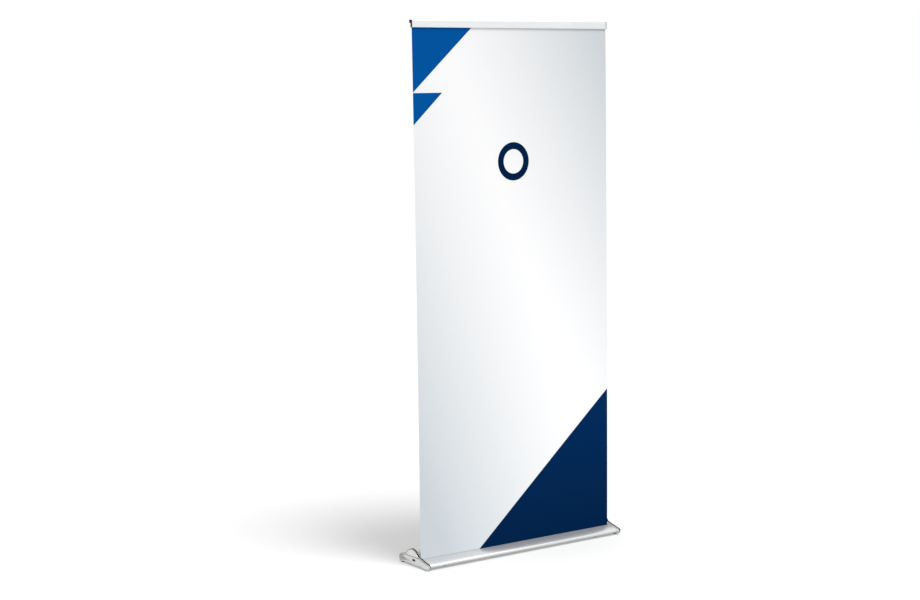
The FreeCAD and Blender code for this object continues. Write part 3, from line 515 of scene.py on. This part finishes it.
def make_film():
    """The drawn-out film: flat between slot and rail, with edges that curl a little forward."""
    columns = 48
    rows = 120
    tail = 0.017
    thickness = panel_high.y - panel_low.y
    low = SLOT_Z - tail
    high = FILM_TOP
    curl = 0.0045

    def bow(across, height):
        free = max(0.0, min(1.0, (height - SLOT_Z) / (RAIL_Z - SLOT_Z)))
        slack = math.sin(math.pi * free) ** 0.6
        edge = abs(2 * across - 1) ** 3.2
        belly = 0.0008 * math.sin(2 * math.pi * (across + 0.35 * free))
        return slack * (belly - curl * edge)

    bm = bmesh.new()
    sides = []
    for offset in (-thickness / 2, thickness / 2):
        grid = []
        for j in range(rows + 1):
            height = low + (high - low) * j / rows
            line = []
            for i in range(columns + 1):
                across = i / columns
                x = -FILM_HALF + 2 * FILM_HALF * across
                line.append(bm.verts.new((x, FILM_Y + offset + bow(across, height), height)))
            grid.append(line)
        sides.append(grid)
    front, back = sides
    for j in range(rows):
        for i in range(columns):
            bm.faces.new((front[j][i], front[j][i + 1], front[j + 1][i + 1], front[j + 1][i]))
            reverse = bm.faces.new((back[j][i], back[j + 1][i], back[j + 1][i + 1], back[j][i + 1]))
            reverse.material_index = 1
    rim_front, rim_back = [
        [grid[0][i] for i in range(columns + 1)]
        + [grid[j][columns] for j in range(1, rows + 1)]
        + [grid[rows][i] for i in range(columns - 1, -1, -1)]
        + [grid[j][0] for j in range(rows - 1, 0, -1)]
        for grid in sides
    ]
    count = len(rim_front)
    for k in range(count):
        after = (k + 1) % count
        bm.faces.new((rim_front[k], rim_back[k], rim_back[after], rim_front[after]))
    bmesh.ops.recalc_face_normals(bm, faces=bm.faces)
    mesh = finished(bm, "film")
    mesh.shade_smooth()
    mesh.set_sharp_from_angle(angle=math.radians(40))
    film = add_piece("film", mesh, FINISHES["printed_film"], FINISHES["film_back"])
    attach(film, "rail")
    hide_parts("graphic_panel")
    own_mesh(film)


def grid_mesh(name, rows):
    """Quads between rings of points, all with the same number of points, and a cap at each end."""
    bm = bmesh.new()
    rings = [[bm.verts.new(point) for point in ring] for ring in rows]
    for ring, other in zip(rings, rings[1:]):
        count = len(ring)
        for k in range(count):
            after = (k + 1) % count
            bm.faces.new((ring[k], ring[after], other[after], other[k]))
    bm.faces.new(rings[0])
    bm.faces.new(rings[-1])
    bmesh.ops.recalc_face_normals(bm, faces=bm.faces)
    return finished(bm, name)


def make_coil():
    """The close-wound torsion spring, as one long coil of round wire."""
    node = "torsion_spring"
    low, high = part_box(node)
    wire = 0.0013
    coil = (high.z - low.z) / 2 - wire
    centre = (low + high) / 2
    turns = int((high.x - low.x - 2 * wire) / (2 * wire + 0.00003))
    steps = 20
    sides = 8
    run = (high.x - low.x - 2 * wire) / (turns * steps)
    rings = []
    for i in range(turns * steps + 1):
        turn = 2 * math.pi * i / steps
        x = low.x + wire + i * run
        ring = []
        for k in range(sides):
            round_wire = 2 * math.pi * k / sides
            radius = coil + wire * math.cos(round_wire)
            ring.append((x + wire * math.sin(round_wire), centre.y + radius * math.cos(turn),
                         centre.z + radius * math.sin(turn)))
        rings.append(ring)
    stand_for(node, grid_mesh(node, rings))


def make_foot(place):
    """Levelling foot: threaded stud with its ball-like head, and a knurled pad."""
    stud = f"foot_stud_{place}"
    low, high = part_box(stud)
    x = (low.x + high.x) / 2
    y = (low.y + high.y) / 2
    head = (high.x - low.x) / 2

    def circle(radius, z, count):
        turns = [2 * math.pi * k / count for k in range(count)]
        return [(x + radius * math.cos(turn), y + radius * math.sin(turn), z) for turn in turns]

    crest = 0.0030
    pitch = 0.001
    depth = 0.00045
    steps = 32
    start = low.z + 0.0022
    levels = [(0.6 * head, low.z), (head, low.z + 0.0004), (head, low.z + 0.0012),
              (0.62 * head, low.z + 0.0016), (crest - depth, start)]
    rings = [circle(r, z, steps) for r, z in levels]
    rows = int((high.z - 0.0007 - start) / (pitch / 8))
    for j in range(1, rows + 1):
        z = start + j * pitch / 8
        ring = []
        for k in range(steps):
            phase = ((z - start) / pitch - k / steps) % 1.0
            radius = crest - depth * abs(2 * phase - 1)
            ring.append((x + radius * math.cos(2 * math.pi * k / steps),
                         y + radius * math.sin(2 * math.pi * k / steps), z))
        rings.append(ring)
    for r, z in ((crest - depth, high.z - 0.0005), (0.7 * crest, high.z)):
        rings.append(circle(r, z, steps))
    stand_for(stud, grid_mesh(stud, rings))

    pad = f"foot_pad_{place}"
    pad_low, pad_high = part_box(pad)
    outer = (pad_high.x - pad_low.x) / 2
    top = pad_high.z
    floor = pad_low.z
    hole = crest + 0.00008
    seat = head + 0.00008
    profile = [(0.3 * outer, floor), (outer - 0.0007, floor), (outer, floor + 0.0007),
               (outer, top - 0.0008), (outer - 0.0004, top - 0.0002), (outer - 0.0010, top),
               (hole + 0.0004, top), (hole, top - 0.0004), (hole, floor + 0.00328),
               (seat, floor + 0.00328), (seat, floor + 0.00152), (0.3 * outer, floor + 0.00152)]
    knurls = 24
    steps = 4 * knurls
    rings = []
    for r, z in profile:
        ring = []
        for k in range(steps):
            on_rim = r > 0.9 * outer and floor + 0.0002 < z < top
            groove = 0.00035 if k % 4 == 0 and on_rim else 0.0
            turn = 2 * math.pi * k / steps
            ring.append((x + (r - groove) * math.cos(turn), y + (r - groove) * math.sin(turn), z))
        rings.append(ring)
    stand_for(pad, grid_mesh(pad, rings))


make_film()
make_coil()
for corner in ("front_left", "front_right", "rear_left", "rear_right"):
    make_foot(corner)

ROUNDED = {
    "cassette_extrusion": 0.00025,
    "end_cap_inner_left": 0.00015, "end_cap_inner_right": 0.00015,
    "dome_inlay_left": 0.00012, "dome_inlay_right": 0.00012,
    "lock_button": 0.0003, "cap_foot_pads": 0.0005, "slot_guide_strip": 0.0003,
    "clamp_collar_lower": 0.0006, "clamp_collar_upper": 0.0006,
    "clamp_bolt_lower": 0.0004, "clamp_bolt_upper": 0.0004,
    "cam_lever_lower": 0.0006, "cam_lever_upper": 0.0006,
    "cam_pin_lower": 0.0003, "cam_pin_upper": 0.0003,
    "pole_head": 0.0006, "pole_socket": 0.0005,
    "rail_profile": 0.00015, "rail_front_jaw": 0.0002,
    "rail_plug_left": 0.0002, "rail_plug_right": 0.0002,
    "pole_lower_tube": 0.0002, "pole_middle_tube": 0.0002, "pole_upper_tube": 0.0002,
    "roller_plug_left": 0.0003, "roller_plug_right": 0.0003,
}
for node_name, edge_width in ROUNDED.items():
    refine(node_name, edge_width)
for end in ("left", "right"):
    refine_cover(end)
    refine_liner(end)


# ---------------------------------------------------------------- studio

def make_floor():
    mesh = bpy.data.meshes.new("floor")
    half = 30.0
    corners = [(-half, -half, 0), (half, -half, 0), (half, half, 0), (-half, half, 0)]
    mesh.from_pydata(corners, [], [(0, 1, 2, 3)])
    floor = add_piece("floor", mesh, floor_material())


def make_sun(name, towards, strength, spread):
    """A soft light from far away, so that the whole floor is lit alike."""
    data = bpy.data.lights.new(name, "SUN")
    data.energy = strength
    data.angle = math.radians(spread)
    lamp = bpy.data.objects.new(name, data)
    scene.collection.objects.link(lamp)
    lamp.rotation_euler = (-Vector(towards)).to_track_quat("-Z", "Y").to_euler()


def make_world():
    world = bpy.data.worlds.new("studio")
    scene.world = world
    world.use_nodes = True
    background = world.node_tree.nodes["Background"]
    background.inputs["Color"].default_value = (1.0, 1.0, 1.0, 1.0)
    background.inputs["Strength"].default_value = 1.0


def make_camera():
    """Left of the stand and in front of it, at a standing eye height, looking a little down."""
    yaw = math.radians(34.675)
    pitch = math.radians(7.261)
    roll = math.radians(-0.800)
    level = math.cos(pitch)
    ahead = Vector((math.sin(yaw) * level, math.cos(yaw) * level, -math.sin(pitch)))
    level_right = Vector((math.cos(yaw), -math.sin(yaw), 0))
    level_up = level_right.cross(ahead)
    right = math.cos(roll) * level_right + math.sin(roll) * level_up
    up = -math.sin(roll) * level_right + math.cos(roll) * level_up
    turn = Matrix((right, up, -ahead)).transposed()
    data = bpy.data.cameras.new("camera")
    camera = bpy.data.objects.new("camera", data)
    scene.collection.objects.link(camera)
    place = Vector((-4.1409, FILM_Y - 5.6110, SLOT_Z + 1.7721))
    camera.matrix_world = Matrix.Translation(place) @ turn.to_4x4()
    data.lens = 70.84
    data.shift_y = 0.0217
    scene.camera = camera


make_floor()
make_world()
make_sun("key", (0.10, -0.45, 1.0), 3.7, 24)
make_camera()
scene.view_settings.view_transform = "Standard"
